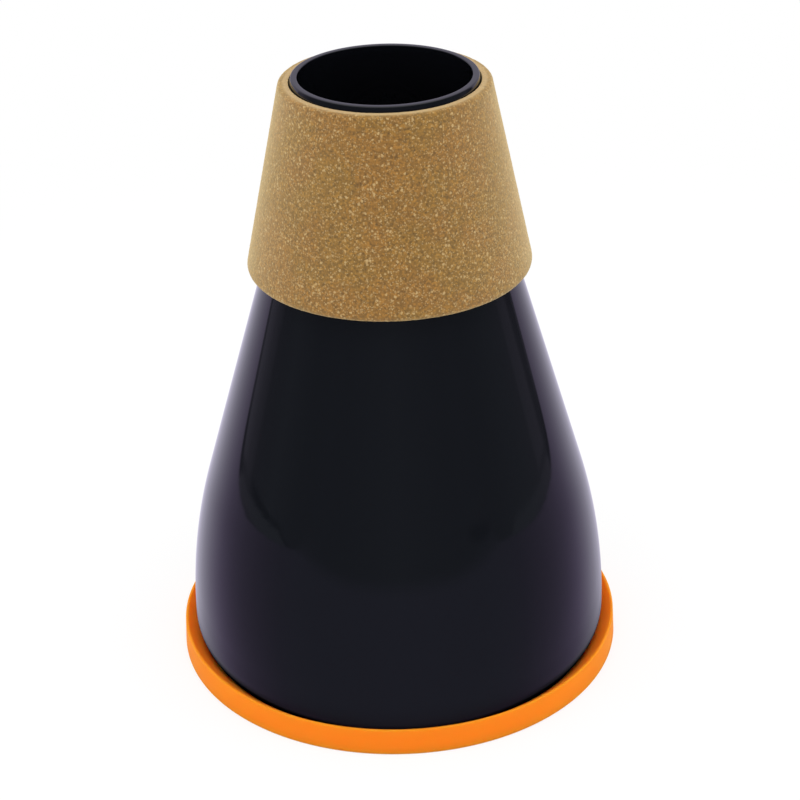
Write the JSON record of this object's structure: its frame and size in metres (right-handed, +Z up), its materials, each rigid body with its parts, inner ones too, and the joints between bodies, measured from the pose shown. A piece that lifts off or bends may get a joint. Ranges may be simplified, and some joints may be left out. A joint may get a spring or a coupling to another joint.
{
  "type": "brass instrument practice mute",
  "caption": "Cone-shaped practice mute for a trumpet: hollow moulded body, cork sleeve round the neck, wide base cap, damped chamber with a small vent.",
  "frame": {"origin": "centre of the underside of the base cap, on the axis, at the height of the surface it stands on", "axes": "+Z up along the mute's axis from the base to the open mouth; the mute is round, so X and Y are free"},
  "size_m": [0.098, 0.098, 0.1326],
  "materials": {
    "black_plastic": "gloss",
    "cork": "matte",
    "orange_plastic": "satin",
    "inner_plastic": "matte",
    "foam": "matte",
    "felt": "matte"
  },
  "bodies": {
    "root": {"body_shell": "black_plastic", "neck_cork": "cork", "base_cap": "orange_plastic", "vent_tube": "inner_plastic", "upper_baffle": "inner_plastic", "lower_baffle": "inner_plastic", "upper_foam": "foam", "lower_foam": "foam", "base_felt": "felt"}
  },
  "joints": []
}
